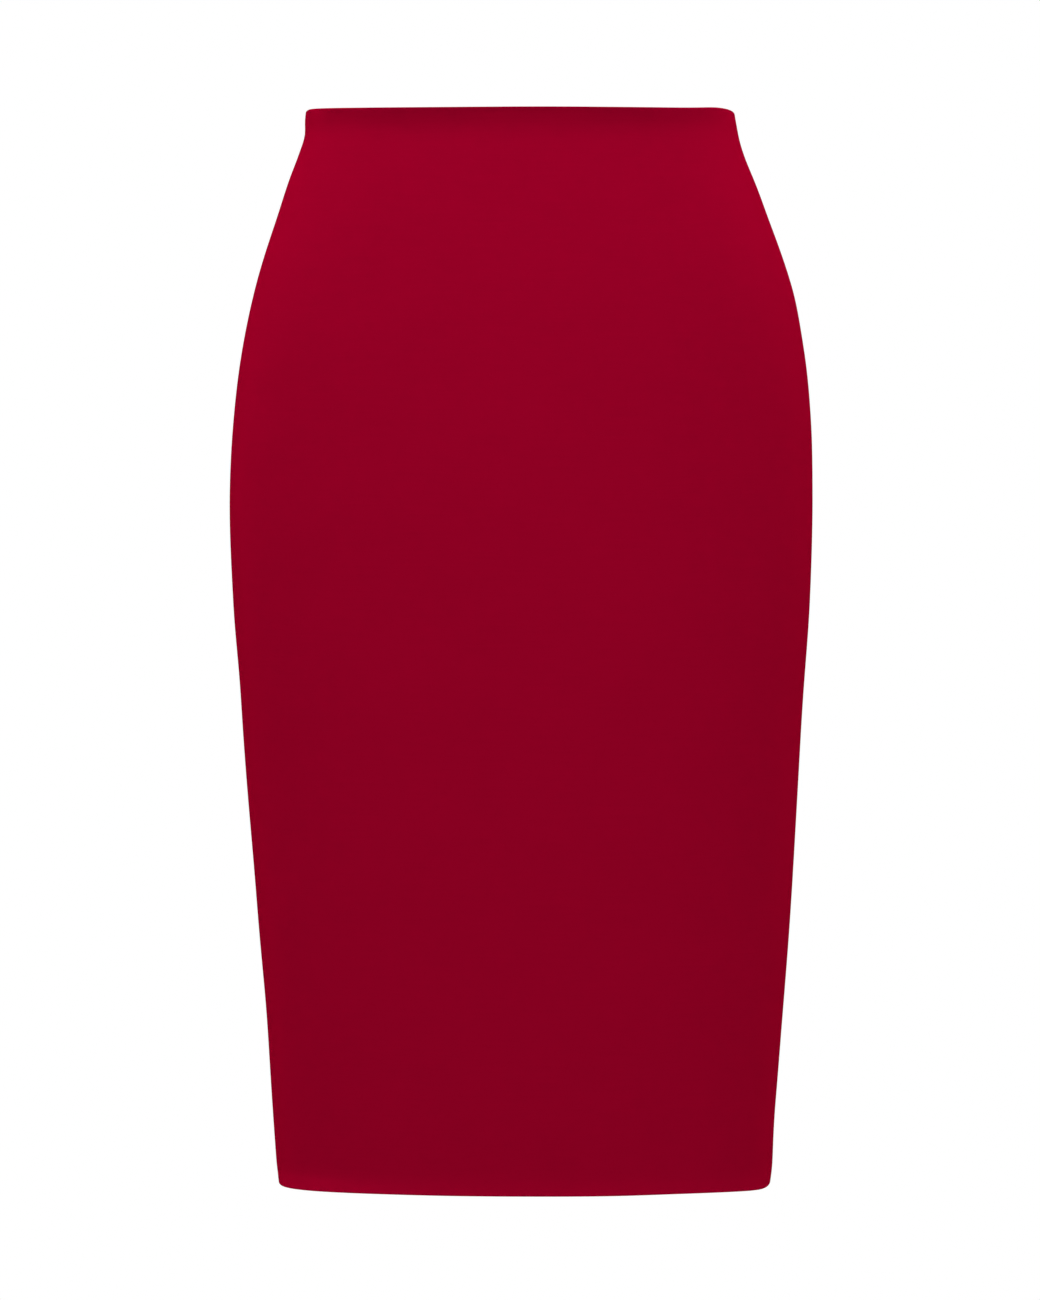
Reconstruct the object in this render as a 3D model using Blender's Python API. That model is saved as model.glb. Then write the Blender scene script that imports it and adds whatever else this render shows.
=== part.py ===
"""Pull-on pencil skirt in a heavy stretch double knit, EU size 38, hollow as it is when worn.

One front panel and two back panels meet at the side seams and at a centre back seam, which
shapes the seat. The top edge is turned in as a casing for the waist elastic and the lower edge is
turned up as a hem, so the wall is two cloths thick there and one cloth thick between them.

Each level of the skirt is a section made of two half superellipses that meet at the side seams.
A short table gives their sizes at a few drops below the waist, and a smooth curve runs through it.

Frame: metres, +Z up. The skirt faces -Y, and +X is the wearer's left. The origin is in the middle
of the waist casing, in the plane of the side seams.
"""

import math
from collections import namedtuple

import bpy
import numpy as np

MM = 0.001

# Driving sizes.
LENGTH = 634 * MM  # from the top edge down the side seam to the hem's fold
CASING = 20 * MM  # depth of the turning round the waist elastic
HEM = 32 * MM  # depth of the turning at the hem
CLOTH = 1.2 * MM  # one thickness of the knit
TURNED = 2 * CLOTH  # wall where the cloth is turned
RAW_EDGE = 1 * MM  # height over which a turning's raw edge thins out
FRONT_DIP = 3.8 * MM  # how far the top edge sinks at the centre front
SEAM_GAP = 0.3 * MM  # between neighbouring panels
ORIGIN_DROP = 10 * MM  # from the top edge down to the origin

# Sections, in millimetres, by their drop below the top edge. half_width is from the middle to a
# side seam, and sway is how far the middle hangs towards the wearer's left. front and back are the
# depths before and behind the side seams, and a power over 2 squares that half of the section.
Section = namedtuple("Section", "drop half_width sway front front_power back back_power")
SECTIONS = [
    Section(0, 126.3, 0.0, 84.5, 2.25, 85.0, 2.20),
    Section(15, 127.8, 0.8, 85.3, 2.25, 85.8, 2.20),
    Section(27, 131.3, 0.8, 88.6, 2.25, 87.9, 2.20),
    Section(60, 143.6, 1.4, 97.9, 2.25, 95.5, 2.20),
    Section(100, 157.0, 2.0, 105.3, 2.30, 108.0, 2.24),
    Section(145, 166.5, 1.8, 110.2, 2.34, 119.0, 2.28),
    Section(185, 170.8, 1.3, 112.0, 2.38, 125.0, 2.31),
    Section(225, 172.3, 0.7, 112.4, 2.44, 126.0, 2.34),
    Section(290, 170.6, 0.9, 111.4, 2.56, 120.5, 2.40),
    Section(380, 164.3, 1.3, 108.3, 2.72, 112.0, 2.48),
    Section(480, 157.4, 2.2, 104.1, 2.86, 106.0, 2.56),
    Section(580, 149.6, 2.4, 99.8, 3.00, 101.3, 2.64),
    Section(634, 146.0, 2.8, 98.0, 3.10, 99.5, 2.70),
]
IN_MILLIMETRES = ("half_width", "sway", "front", "back")

# Panels, as turns anticlockwise from the wearer's left seam, seen from above. A panel stands off
# its seams by half the gap, and aside and behind say which way.
Panel = namedtuple("Panel", "name first_turn last_turn columns aside behind")
PANELS = [
    Panel("front_panel", 0.5, 1.0, 36, 0, -1),
    Panel("back_left_panel", 0.0, 0.25, 18, 1, 1),
    Panel("back_right_panel", 0.25, 0.5, 18, -1, 1),
]

# Rows of points down the cloth.
CASING_ROWS = 3
BODY_ROWS = 27
BODY_CROWDING = 1.2  # over 1 sets the rows closer where the hip curves
HEM_ROWS = 2
FOLD_ANGLE = math.radians(45)  # where a row rounds a turned edge
ARC_STEPS = 360  # fine steps that measure the cloth along a section

KNIT_COLOUR = (0.30, 0.002, 0.018, 1.0)
KNIT_ROUGHNESS = 0.9


def clear_scene():
    for item in list(bpy.data.objects):
        bpy.data.objects.remove(item, do_unlink=True)


def knit_material(name):
    material = bpy.data.materials.new(name)
    material.use_nodes = True
    shader = material.node_tree.nodes["Principled BSDF"]
    shader.inputs["Base Color"].default_value = KNIT_COLOUR
    shader.inputs["Roughness"].default_value = KNIT_ROUGHNESS
    shader.inputs["Metallic"].default_value = 0.0
    return material


def section_sizes(drop):
    """Each named size of the section at these drops, in metres.

    Between two rows of the table the curve is a cubic, and its slope at a row is the mean of the
    slopes before and after that row, the nearer one weighing more.
    """
    table = np.array(SECTIONS, dtype=float)
    rows = table[:, 0] * MM
    gap = np.diff(rows)[:, None]
    slope = np.diff(table, axis=0) / gap
    between = (slope[:-1] * gap[1:] + slope[1:] * gap[:-1]) / (gap[:-1] + gap[1:])
    tangent = np.vstack([slope[:1], between, slope[-1:]])
    row = np.clip(np.searchsorted(rows, drop, side="right") - 1, 0, len(gap) - 1)
    share = ((drop - rows[row]) / gap[row, 0])[..., None]
    values = (
        (2 * share**3 - 3 * share**2 + 1) * table[row]
        + (3 * share**2 - 2 * share**3) * table[row + 1]
        + (share**3 - 2 * share**2 + share) * gap[row] * tangent[row]
        + (share**3 - share**2) * gap[row] * tangent[row + 1]
    )
    sizes = dict(zip(Section._fields, np.moveaxis(values, -1, 0)))
    for name in IN_MILLIMETRES:
        sizes[name] = sizes[name] * MM
    return sizes


def outline(sizes, angle):
    """The section's points at these angles round its middle, and its outward directions there."""
    ahead = np.sin(angle) < 0
    depth = np.where(ahead, sizes["front"], sizes["back"])
    power = np.where(ahead, sizes["front_power"], sizes["back_power"])
    across = np.cos(angle) / sizes["half_width"]
    along = np.sin(angle) / depth
    radius = (np.abs(across) ** power + np.abs(along) ** power) ** (-1 / power)
    point = np.stack([radius * np.cos(angle), radius * np.sin(angle)], axis=-1)
    out_x = np.sign(across) * np.abs(radius * across) ** (power - 1) / sizes["half_width"]
    out_y = np.sign(along) * np.abs(radius * along) ** (power - 1) / depth
    out = np.stack([out_x, out_y], axis=-1)
    return point, out / np.linalg.norm(out, axis=-1, keepdims=True)


def wall_rows():
    """Three arrays, a value for each row: its drop, and how far its outer and inner points lie
    inside the cloth's outer face. A turned edge is a half circle across the wall, so its first row
    is one point at the middle of the wall."""
    fold = TURNED / 2
    rounding = fold * (1 - math.cos(FOLD_ANGLE))
    casing = np.linspace(fold, CASING, CASING_ROWS + 1)
    hem_top = LENGTH - HEM
    easing = np.linspace(0, 1, BODY_ROWS) ** BODY_CROWDING
    body_top = CASING + RAW_EDGE
    body = body_top + (hem_top - RAW_EDGE - body_top) * easing
    hem = np.linspace(hem_top, LENGTH - fold, HEM_ROWS + 1)
    corner = fold * (1 - math.sin(FOLD_ANGLE))
    drop = np.concatenate([[0, corner], casing, body, hem, [LENGTH - corner, LENGTH]])
    wall = np.concatenate(
        [np.full(len(casing), TURNED), np.full(len(body), CLOTH), np.full(len(hem), TURNED)]
    )
    outer = np.concatenate([[fold, rounding], np.zeros(len(wall)), [rounding, fold]])
    inner = np.concatenate([[fold, TURNED - rounding], wall, [TURNED - rounding, fold]])
    return drop, outer, inner


def even_angles(panel, drop):
    """For each drop, the angles that split the panel's cloth into columns of one width."""
    fine = np.linspace(panel.first_turn, panel.last_turn, ARC_STEPS + 1) * 2 * math.pi
    sizes = {name: value[:, None] for name, value in section_sizes(drop).items()}
    point, _ = outline(sizes, fine[None, :])
    steps = np.linalg.norm(np.diff(point, axis=1), axis=-1)
    cloth = np.concatenate([np.zeros((len(drop), 1)), np.cumsum(steps, axis=1)], axis=1)
    share = np.linspace(0, 1, panel.columns + 1)
    return np.array([np.interp(share * row[-1], row, fine) for row in cloth])


def wall_points(panel):
    """The panel's outer and inner points, as arrays of rows, columns and coordinates."""
    drop, outer_inset, inner_inset = wall_rows()
    angle = even_angles(panel, drop)
    top_sizes = {name: value[:, None] for name, value in section_sizes(drop[:1]).items()}
    top_point, _ = outline(top_sizes, angle[:1])
    ahead = np.clip(-top_point[..., 1] / top_sizes["front"], 0, 1)
    dip = FRONT_DIP * ahead
    hung = dip + drop[:, None] * (1 - dip / LENGTH)
    sizes = section_sizes(hung)
    point, out = outline(sizes, angle)
    point[..., 0] += sizes["sway"] + panel.aside * SEAM_GAP / 2
    point[..., 1] += panel.behind * SEAM_GAP / 2
    height = (ORIGIN_DROP - hung)[..., None]
    outer = np.concatenate([point - out * outer_inset[:, None, None], height], axis=-1)
    inner = np.concatenate([point - out * inner_inset[:, None, None], height], axis=-1)
    return outer, inner


def wall_faces(rows, columns):
    """Faces of a wall whose points run column by column, each column a ring: down the outer face
    from the top fold to the bottom fold, then up the inner face. Rings are joined by quads, and
    the first and last are closed by strips from the outer to the inner face."""
    ring = 2 * rows - 2
    at = np.arange(ring)
    after = (at + 1) % ring
    start = np.arange(columns)[:, None] * ring
    skin = np.stack([start + after, start + ring + after, start + ring + at, start + at], axis=-1)
    faces = skin.reshape(-1, 4).tolist()
    outer = np.arange(1, rows - 1)
    inner = ring - outer
    last = columns * ring
    for i in range(len(outer) - 1):
        strip = [outer[i + 1], outer[i], inner[i], inner[i + 1]]
        faces.append(strip)
        faces.append([last + corner for corner in reversed(strip)])
    for tip in ([outer[0], 0, inner[0]], [rows - 1, outer[-1], inner[-1]]):
        faces.append(tip)
        faces.append([last + corner for corner in reversed(tip)])
    return [[int(corner) for corner in face] for face in faces]


def make_panel(panel, waist):
    outer, inner = wall_points(panel)
    rings = np.concatenate([outer, inner[-2:0:-1]], axis=0)
    points = np.swapaxes(rings, 0, 1).reshape(-1, 3)
    mesh = bpy.data.meshes.new(panel.name)
    mesh.from_pydata(points.tolist(), [], wall_faces(len(outer), panel.columns))
    mesh.update()
    mesh.shade_smooth()
    mesh.set_sharp_from_angle(angle=math.radians(40))
    mesh.materials.append(knit_material(panel.name + "_knit"))
    cloth = bpy.data.objects.new(panel.name, mesh)
    bpy.context.scene.collection.objects.link(cloth)
    cloth.parent = waist


def main():
    clear_scene()
    waist = bpy.data.objects.new("waist", None)
    bpy.context.scene.collection.objects.link(waist)
    for panel in PANELS:
        make_panel(panel, waist)


main()
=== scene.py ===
"""Looks of a pull-on pencil skirt in a heavy crimson double knit, hollow as it is when worn.

Each panel is one folded cloth. From its raw edge inside the waist casing it goes up, over the top
fold, down the outside, round the hem's fold and up to its other raw edge, and along its seams it
rolls inwards. Seam allowances, overlock thread and blind stitches lie inside.

Frame: metres, +Z up. The skirt faces -Y, and +X is the wearer's left.
"""

import math
from collections import namedtuple

import bpy
import numpy as np
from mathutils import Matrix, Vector


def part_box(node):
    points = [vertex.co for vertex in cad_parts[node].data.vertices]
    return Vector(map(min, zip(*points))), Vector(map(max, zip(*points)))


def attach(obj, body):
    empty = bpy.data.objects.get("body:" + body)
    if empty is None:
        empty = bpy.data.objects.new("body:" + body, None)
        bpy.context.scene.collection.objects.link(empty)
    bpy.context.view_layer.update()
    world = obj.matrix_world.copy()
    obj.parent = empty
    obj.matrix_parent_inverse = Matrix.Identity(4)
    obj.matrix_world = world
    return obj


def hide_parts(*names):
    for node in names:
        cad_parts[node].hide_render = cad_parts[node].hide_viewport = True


MM = 0.001

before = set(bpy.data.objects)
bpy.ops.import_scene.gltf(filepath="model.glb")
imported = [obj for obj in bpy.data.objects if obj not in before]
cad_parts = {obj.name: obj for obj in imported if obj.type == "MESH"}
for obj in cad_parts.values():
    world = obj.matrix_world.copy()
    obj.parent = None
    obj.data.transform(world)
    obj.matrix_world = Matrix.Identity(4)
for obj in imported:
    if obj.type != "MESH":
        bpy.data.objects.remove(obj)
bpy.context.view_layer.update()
BACK_LOW, BACK_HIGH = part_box("back_left_panel")

# Sizes of the skirt, the same as its solids'.
TOP = BACK_HIGH.z  # height of the top edge at the back
LENGTH = BACK_HIGH.z - BACK_LOW.z
CASING = 20 * MM  # depth of the turning round the waist elastic
HEM = 32 * MM  # depth of the turning at the hem
FRONT_DIP = 3.8 * MM  # how far the top edge sinks at the centre front

# The cloth, and how it turns.
THICK = 1.1 * MM  # one thickness of the knit
LAYER = 1.2 * MM  # from the middle of one thickness to the next, where the cloth is turned
FOLD_OUTSIDE = (LAYER + THICK) / 2  # radius of a fold's right side
FOLD_INSIDE = (LAYER - THICK) / 2  # and of its wrong side
BODY_INSIDE = (LAYER + THICK) / 2  # from the outer face to the inside of a single cloth
TURNING_INSIDE = BODY_INSIDE + LAYER  # and to the inside of a turning
ROLL_REACH = 0.6 * MM  # how far from a seam the right side rolls into it
ROLL_DEPTH_AT_FOLD = 0.4 * MM  # how deep it rolls on a fold, where the allowances fill the seam
ROLL_DEEPENS = 3 * LAYER  # from a fold to where the roll has its full depth
PINCHED = 0.75 * MM  # thickness of the cloth in the seam's stitches
ALLOWANCE = 10 * MM  # width of the seam allowances
ALLOWANCE_END = 4 * MM  # how far they stop short of the folds
LIFT = 2.4 * MM  # how far a turning stands off the body where it crosses the allowances
LIFT_OVER = 11 * MM  # it stays lifted this far past the seam
LIFT_FALL = 4 * MM  # and comes down over this much more

# Sections, in millimetres, by their drop below the top edge. half_width is from the middle to a
# side seam, and sway is how far the middle hangs towards the wearer's left. front and back are the
# depths before and behind the side seams, and a power over 2 squares that half of the section.
Section = namedtuple("Section", "drop half_width sway front front_power back back_power")
SECTIONS = [
    Section(0, 126.3, 0.0, 84.5, 2.25, 85.0, 2.20),
    Section(15, 127.8, 0.8, 85.3, 2.25, 85.8, 2.20),
    Section(27, 131.3, 0.8, 88.6, 2.25, 87.9, 2.20),
    Section(60, 143.6, 1.4, 97.9, 2.25, 95.5, 2.20),
    Section(100, 157.0, 2.0, 105.3, 2.30, 108.0, 2.24),
    Section(145, 166.5, 1.8, 110.2, 2.34, 119.0, 2.28),
    Section(185, 170.8, 1.3, 112.0, 2.38, 125.0, 2.31),
    Section(225, 172.3, 0.7, 112.4, 2.44, 126.0, 2.34),
    Section(290, 170.6, 0.9, 111.4, 2.56, 120.5, 2.40),
    Section(380, 164.3, 1.3, 108.3, 2.72, 112.0, 2.48),
    Section(480, 157.4, 2.2, 104.1, 2.86, 106.0, 2.56),
    Section(580, 149.6, 2.4, 99.8, 3.00, 101.3, 2.64),
    Section(634, 146.0, 2.8, 98.0, 3.10, 99.5, 2.70),
]
IN_MILLIMETRES = ("half_width", "sway", "front", "back")

# Seams, as turns anticlockwise from the wearer's left, seen from above. A seam's allowances are
# pressed on to one panel, and way is 1 where that panel has the greater turns.
Seam = namedtuple("Seam", "name turn way pressed_on")
LEFT_SEAM = Seam("left_side", 0.0, 1, "back_left_cloth")
BACK_SEAM = Seam("centre_back", 0.25, -1, "back_left_cloth")
RIGHT_SEAM = Seam("right_side", 0.5, -1, "back_right_cloth")
SEAMS = [LEFT_SEAM, BACK_SEAM, RIGHT_SEAM]

# Panels, which meet at their seams.
Panel = namedtuple("Panel", "name node first last first_turn last_turn columns")
PANELS = [
    Panel("front_cloth", "front_panel", RIGHT_SEAM, LEFT_SEAM, 0.5, 1.0, 120),
    Panel("back_left_cloth", "back_left_panel", LEFT_SEAM, BACK_SEAM, 0.0, 0.25, 60),
    Panel("back_right_cloth", "back_right_panel", BACK_SEAM, RIGHT_SEAM, 0.25, 0.5, 60),
]

# Soft swells and troughs of the hanging cloth: where the middle of each is, how far it reaches
# round the skirt and down it, and how far it stands out, in turns and millimetres. Those at a side
# seam are the slow waves of the skirt's two sides.
Swell = namedtuple("Swell", "turn drop reach_round reach_down out")
SWELLS = [
    Swell(0.700, 210, 0.075, 90, 0.35),
    Swell(0.655, 420, 0.040, 130, -0.30),
    Swell(0.845, 470, 0.045, 120, -0.35),
    Swell(0.765, 520, 0.060, 110, 0.30),
    Swell(0.600, 300, 0.040, 80, 0.25),
    Swell(0.910, 350, 0.035, 100, 0.20),
    Swell(0.180, 330, 0.045, 70, -0.45),
    Swell(0.330, 345, 0.040, 75, -0.50),
    Swell(0.120, 480, 0.040, 120, 0.40),
    Swell(0.385, 500, 0.045, 110, 0.35),
    Swell(0.245, 450, 0.050, 90, -0.30),
    Swell(0.500, 8, 0.050, 6, 0.75),
    Swell(0.500, 41, 0.050, 14, 0.80),
    Swell(0.500, 335, 0.050, 28, -0.70),
    Swell(0.500, 455, 0.050, 40, -0.45),
    Swell(0.500, 530, 0.050, 40, -1.00),
    Swell(0.500, 634, 0.050, 7, -0.90),
    Swell(0.600, 641, 0.055, 10, 1.90),
    Swell(0.000, 12, 0.050, 8, 0.45),
    Swell(0.000, 42, 0.050, 13, 0.60),
    Swell(0.000, 112, 0.050, 15, 0.40),
    Swell(0.000, 340, 0.050, 35, -0.50),
    Swell(0.000, 598, 0.050, 22, -0.55),
    Swell(0.000, 634, 0.050, 6, -1.00),
]
CASING_LEAN = 2.4 * MM  # how far the top edge leans out at the front
CASING_LEAN_DROP = 16 * MM
LEANS_FROM = 0.35  # how squarely the cloth faces forwards where the lean begins
LEANS_WHOLLY = 0.75  # and where it is whole
HEM_FLARE = 0.6 * MM  # how far the hem's fold stands out, but for the side seams
HEM_FLARE_RISE = 9 * MM
FLARES_WHOLLY = 0.45  # sine of the turn past a side seam where the flare is whole

# How far the top edge and the hem's fold sink near some places, in turns and millimetres. The side
# seams draw both towards the middle of the skirt.
Sag = namedtuple("Sag", "turn reach_round top hem")
SAGS = [
    Sag(0.500, 0.020, 1.2, -1.3),
    Sag(0.610, 0.060, 0.0, -0.75),
    Sag(0.775, 0.100, -0.4, 0.3),
    Sag(0.880, 0.040, 0.0, -0.6),
    Sag(0.943, 0.022, -0.5, 0.6),
    Sag(0.000, 0.026, 2.1, -1.8),
]

# How the cloth's tone changes near its edges: a painted shade down from the top edge over the
# casing, and a paler band up from the hem's fold, partly where the iron has pressed it and partly a
# painted highlight, which is strongest near one place.
TOP_SHADE_DROP = 20 * MM
TOP_SHADE_FROM = 0.75  # how squarely the cloth faces forwards or back where the painted shade begins
PALE_HEM_RISE = 14 * MM
PALE_HEM_FADE = 1.5  # power of the pressing's fall from the fold upwards
PALE_HEM_ALL_ROUND = 0.28
PALE_HEM_MOST = 0.56  # in turns, as is its reach
PALE_HEM_MOST_REACH = 0.06

# Rows of points along the cloth, and columns across a seam's roll.
CASING_ROWS = 10
FOLD_ROWS = 10
BODY_ROWS = 152
BODY_CROWDING = 1.15  # over 1 sets the rows closer where the hip curves
HEM_ROWS = 12
EDGE_ROWS = 4
ROLL_COLUMNS = 5
ARC_STEPS = 720  # fine steps that measure the cloth along a section
SHARP_EDGE = math.radians(50)

# The seam allowances' ripple: slow waves down a seam, each with the drop that turns it by a radian
# and its shift from seam to seam.
RIPPLE = 0.35 * MM
RIPPLE_WAVES = [(31 * MM, 9), (83 * MM, 5)]
RIPPLE_FREE = 20 * MM  # it dies away over this much as it nears a turning
ALLOWANCE_ROWS = 150
ALLOWANCE_POINTS = 7  # across its quarter circle, and again across what lies open
NEAR_SEAM = (-0.01, 0.05)  # turns, before a seam and past it, that hold its allowances

# Sewing thread.
THREAD = 0.16 * MM  # radius
THREAD_SIDES = 4
STITCH = 2.6 * MM  # pitch of the overlock
LOOPER_WIDTH = 4.6 * MM  # how far the looper thread reaches in from the raw edge
LOOPER_PAST = 0.25 * MM  # and how far it reaches past it
LOOPER_DIP = 1.0 * MM  # where it begins to dip over the raw edge
LOOPER_LEAN = 0.12  # how far its loops lean along the edge, in stitches
LOOPER_POINTS = 10  # points along one loop
NEEDLE_IN = 4.1 * MM  # from the raw edge to the needle's line
NEEDLE_HEIGHT = 1.6 * THREAD
NEEDLE_DIP = 2.4 * THREAD
NEEDLE_SHARPNESS = 8  # power of the cosine that makes its dips narrow
NEEDLE_POINTS = 6
BLIND_STITCH = 7 * MM
BLIND_RUN = 2.2 * MM  # from the raw edge to where the blind stitches run on the turning
BLIND_SWING = 3.6 * MM  # how far they swing from there over the edge
BLIND_CATCH = 0.6 * MM  # from the raw edge to where they leave the turning
BLIND_FALL = 1.4 * MM  # over which they go down to the body
BLIND_LEAN = 0.10
BLIND_SHARPNESS = 12
BLIND_THREAD = 0.8 * THREAD  # radius
BLIND_HEIGHT = 1.5 * THREAD  # over the turning
BLIND_SUNK = 0.5 * THREAD  # over the body
BLIND_POINTS = 16


def ease(share):
    """A smooth rise from 0 to 1 as the share goes from 0 to 1, level at both ends."""
    held = np.clip(share, 0, 1)
    return held * held * (3 - 2 * held)


# ---------------------------------------------------------------- the skirt's form


def section_sizes(drop):
    """Each named size of the section at these drops, in metres.

    Between two rows of the table the curve is a cubic, and its slope at a row is the mean of the
    slopes before and after that row, the nearer one weighing more.
    """
    table = np.array(SECTIONS, dtype=float)
    rows = table[:, 0] * MM
    gap = np.diff(rows)[:, None]
    slope = np.diff(table, axis=0) / gap
    between = (slope[:-1] * gap[1:] + slope[1:] * gap[:-1]) / (gap[:-1] + gap[1:])
    tangent = np.vstack([slope[:1], between, slope[-1:]])
    row = np.clip(np.searchsorted(rows, drop, side="right") - 1, 0, len(gap) - 1)
    share = ((drop - rows[row]) / gap[row, 0])[..., None]
    values = (
        (2 * share**3 - 3 * share**2 + 1) * table[row]
        + (3 * share**2 - 2 * share**3) * table[row + 1]
        + (share**3 - 2 * share**2 + share) * gap[row] * tangent[row]
        + (share**3 - share**2) * gap[row] * tangent[row + 1]
    )
    sizes = dict(zip(Section._fields, np.moveaxis(values, -1, 0)))
    for name in IN_MILLIMETRES:
        sizes[name] = sizes[name] * MM
    return sizes


def outline(sizes, angle):
    """The section's points at these angles round its middle, and its outward directions there.

    Each half is a superellipse: the shares of its width and depth, raised to its power, add to 1.
    """
    ahead = np.sin(angle) < 0
    depth = np.where(ahead, sizes["front"], sizes["back"])
    power = np.where(ahead, sizes["front_power"], sizes["back_power"])
    across = np.cos(angle) / sizes["half_width"]
    along = np.sin(angle) / depth
    radius = (np.abs(across) ** power + np.abs(along) ** power) ** (-1 / power)
    point = np.stack([radius * np.cos(angle), radius * np.sin(angle)], axis=-1)
    out_x = np.sign(across) * np.abs(radius * across) ** (power - 1) / sizes["half_width"]
    out_y = np.sign(along) * np.abs(radius * along) ** (power - 1) / depth
    out = np.stack([out_x, out_y], axis=-1)
    return point, out / np.linalg.norm(out, axis=-1, keepdims=True)


def stand_off(angle, drop, forwards):
    """How far the cloth stands out from its plain form.

    Each swell is a bell in the turns round the skirt times a bell in the drop. To them are added
    the lean of the casing, which fades as the cloth faces less forwards, and the hem's flare, which
    fades at the side seams. Both are parabolas, steepest at the fold.
    """
    front = ease((forwards - LEANS_FROM) / (LEANS_WHOLLY - LEANS_FROM))
    out = CASING_LEAN * front * np.clip(1 - drop / CASING_LEAN_DROP, 0, 1) ** 2
    from_sides = ease(np.abs(np.sin(angle)) / FLARES_WHOLLY)
    out = out + HEM_FLARE * from_sides * np.clip(1 - (LENGTH - drop) / HEM_FLARE_RISE, 0, 1) ** 2
    turn = angle / (2 * math.pi)
    for swell in SWELLS:
        round_it = (turn - swell.turn + 0.5) % 1 - 0.5
        down_it = drop - swell.drop * MM
        bell = (round_it / swell.reach_round) ** 2 + (down_it / (swell.reach_down * MM)) ** 2
        out = out + swell.out * MM * np.exp(-bell)
    return out


def edges_sink(angle):
    """How far the top edge and the hem's fold sink at these angles. The top edge sinks towards the
    centre front by the front's share of its depth, and each sag is a bell in the turns."""
    top_sizes = section_sizes(np.zeros(1))
    top_point, _ = outline(top_sizes, angle)
    top = FRONT_DIP * np.clip(-top_point[..., 1] / top_sizes["front"], 0, 1)
    hem = np.zeros_like(top)
    for sag in SAGS:
        round_it = (angle / (2 * math.pi) - sag.turn + 0.5) % 1 - 0.5
        bell = np.exp(-((round_it / sag.reach_round) ** 2))
        top = top + sag.top * MM * bell
        hem = hem + sag.hem * MM * bell
    return top, hem


def on_skirt(angle, drop, inset):
    """Points of the skirt at these angles and drops, this far inside its outer face, and the
    outward directions there. Between the top edge and the hem's fold the cloth sinks by a share of
    what each of them sinks, the nearer one counting more."""
    top, hem = edges_sink(angle)
    hung = drop + top + (hem - top) * drop / LENGTH
    sizes = section_sizes(hung)
    flat_point, flat_out = outline(sizes, angle)
    off = stand_off(angle, hung, -flat_out[..., 1]) - inset
    flat_point = flat_point + flat_out * off[..., None]
    flat_point[..., 0] += sizes["sway"]
    point = np.concatenate([flat_point, (TOP - hung)[..., None]], axis=-1)
    out = np.concatenate([flat_out, np.zeros_like(hung)[..., None]], axis=-1)
    return point, out


def runs_along(drop, fine):
    """For each drop, how far the cloth runs from the first of these fine angles to each of them."""
    sizes = {name: value[:, None] for name, value in section_sizes(drop).items()}
    point, _ = outline(sizes, fine[None, :])
    steps = np.linalg.norm(np.diff(point, axis=1), axis=-1)
    return np.concatenate([np.zeros((len(drop), 1)), np.cumsum(steps, axis=1)], axis=1)


def lift_past(seam, run):
    """How far a turning stands off the body at this run from a seam, towards greater turns. It
    rises before the seam, stays up over the allowances and comes down past them."""
    over = run * seam.way
    return LIFT * ease(1 + over / LIFT_FALL) * ease(1 - (over - LIFT_OVER) / LIFT_FALL)


# ---------------------------------------------------------------- the panels


Surface = namedtuple("Surface", "point flat drawn_in pressed")
Path = namedtuple("Path", "drop inset down inwards lifted run fold")
Ring = namedtuple("Ring", "row across beyond")


def cloth_path():
    """The middle of a panel's cloth, a value for each row from the casing's raw edge to the hem's.

    drop and inset place the row, down and inwards say which way its right side faces, lifted is
    its share of a turning's lift, run is its way along the cloth, and fold is 1 on a fold.
    The folds are half circles across the two layers.
    """
    turning = np.linspace(0, math.pi, FOLD_ROWS + 1)[1:-1]
    casing = np.linspace(CASING, LAYER, CASING_ROWS)
    body = LAYER + (LENGTH - 2 * LAYER) * np.linspace(0, 1, BODY_ROWS) ** BODY_CROWDING
    hem = np.linspace(LENGTH - LAYER, LENGTH - HEM, HEM_ROWS)
    still = [np.zeros(len(rows)) for rows in (casing, body, hem)]
    down = np.concatenate([still[0], -np.sin(turning), still[1], np.sin(turning), still[2]])
    inwards = np.concatenate(
        [still[0] + 1, np.cos(turning), still[1] - 1, -np.cos(turning), still[2] + 1]
    )
    top_fold = np.full(len(turning), LAYER)
    hem_fold = np.full(len(turning), LENGTH - LAYER)
    drop = np.concatenate([casing, top_fold, body, hem_fold, hem]) + LAYER / 2 * down
    inset = LAYER + LAYER / 2 * inwards
    steps = np.hypot(np.diff(drop), np.diff(inset))
    run = np.concatenate([[0], np.cumsum(steps)])
    from_fold = np.minimum(drop, LENGTH - drop)
    lifted = np.where(inwards == 1, ease((from_fold - LAYER) / ALLOWANCE_END), 0)
    fold = ease(1 - from_fold / ROLL_DEEPENS)
    return Path(drop, inset, down, inwards, lifted, run, fold)


def cloth_ring(path):
    """The cloth cut across: along its right side, round the hem's raw edge, back along its wrong
    side and round the casing's raw edge. across is 1 on the right side and -1 on the wrong one,
    and beyond is how far a raw edge's half round goes down from the last row."""
    rows = len(path.drop)
    rounding = np.linspace(0, math.pi, EDGE_ROWS + 1)[1:-1]
    there = np.arange(rows)
    end = np.full(len(rounding), rows - 1)
    row = np.concatenate([there, end, there[::-1], end * 0])
    across = np.concatenate([np.ones(rows), np.cos(rounding), -np.ones(rows), -np.cos(rounding)])
    flat = np.zeros(rows)
    beyond = np.concatenate([flat, -np.sin(rounding), flat, np.sin(rounding)])
    return Ring(row, across, beyond)


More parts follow.
